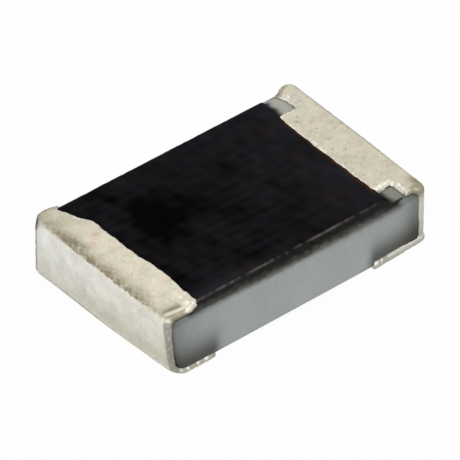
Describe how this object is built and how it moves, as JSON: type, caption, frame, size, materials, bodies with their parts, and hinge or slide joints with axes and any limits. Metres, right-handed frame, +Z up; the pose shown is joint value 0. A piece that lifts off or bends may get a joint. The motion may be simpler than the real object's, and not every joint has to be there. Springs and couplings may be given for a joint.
{
  "type": "chip resistor",
  "caption": "Small rectangular surface-mount resistor: a pale ceramic block with a black coat on top and tin-plated wrap-around ends for soldering.",
  "frame": {"origin": "middle of the seating plane under the two solder pads", "axes": "+X along the chip to its right end, +Y across it to the back, +Z up from the circuit board"},
  "size_m": [0.002, 0.0014, 0.0004],
  "materials": {
    "alumina": "unglazed, fine-grained, snapped sides",
    "resistor_film": "fired thick film",
    "trim_glass": "fired glass glaze",
    "black_coat": "cured black epoxy print, satin",
    "fired_silver": "fired silver paste, matt",
    "nickel": "electroplated, matt",
    "matte_tin": "electroplated matt tin, fine-grained"
  },
  "bodies": {
    "root": {"ceramic_substrate": "alumina", "resistor_film": "resistor_film", "trim_glass": "trim_glass", "overcoat": "black_coat", "top_electrode_left": "fired_silver", "top_electrode_right": "fired_silver", "bottom_electrode_left": "fired_silver", "bottom_electrode_right": "fired_silver", "edge_electrode_left": "fired_silver", "edge_electrode_right": "fired_silver", "nickel_barrier_left": "nickel", "nickel_barrier_right": "nickel", "tin_cap_left": "matte_tin", "tin_cap_right": "matte_tin"}
  },
  "joints": []
}
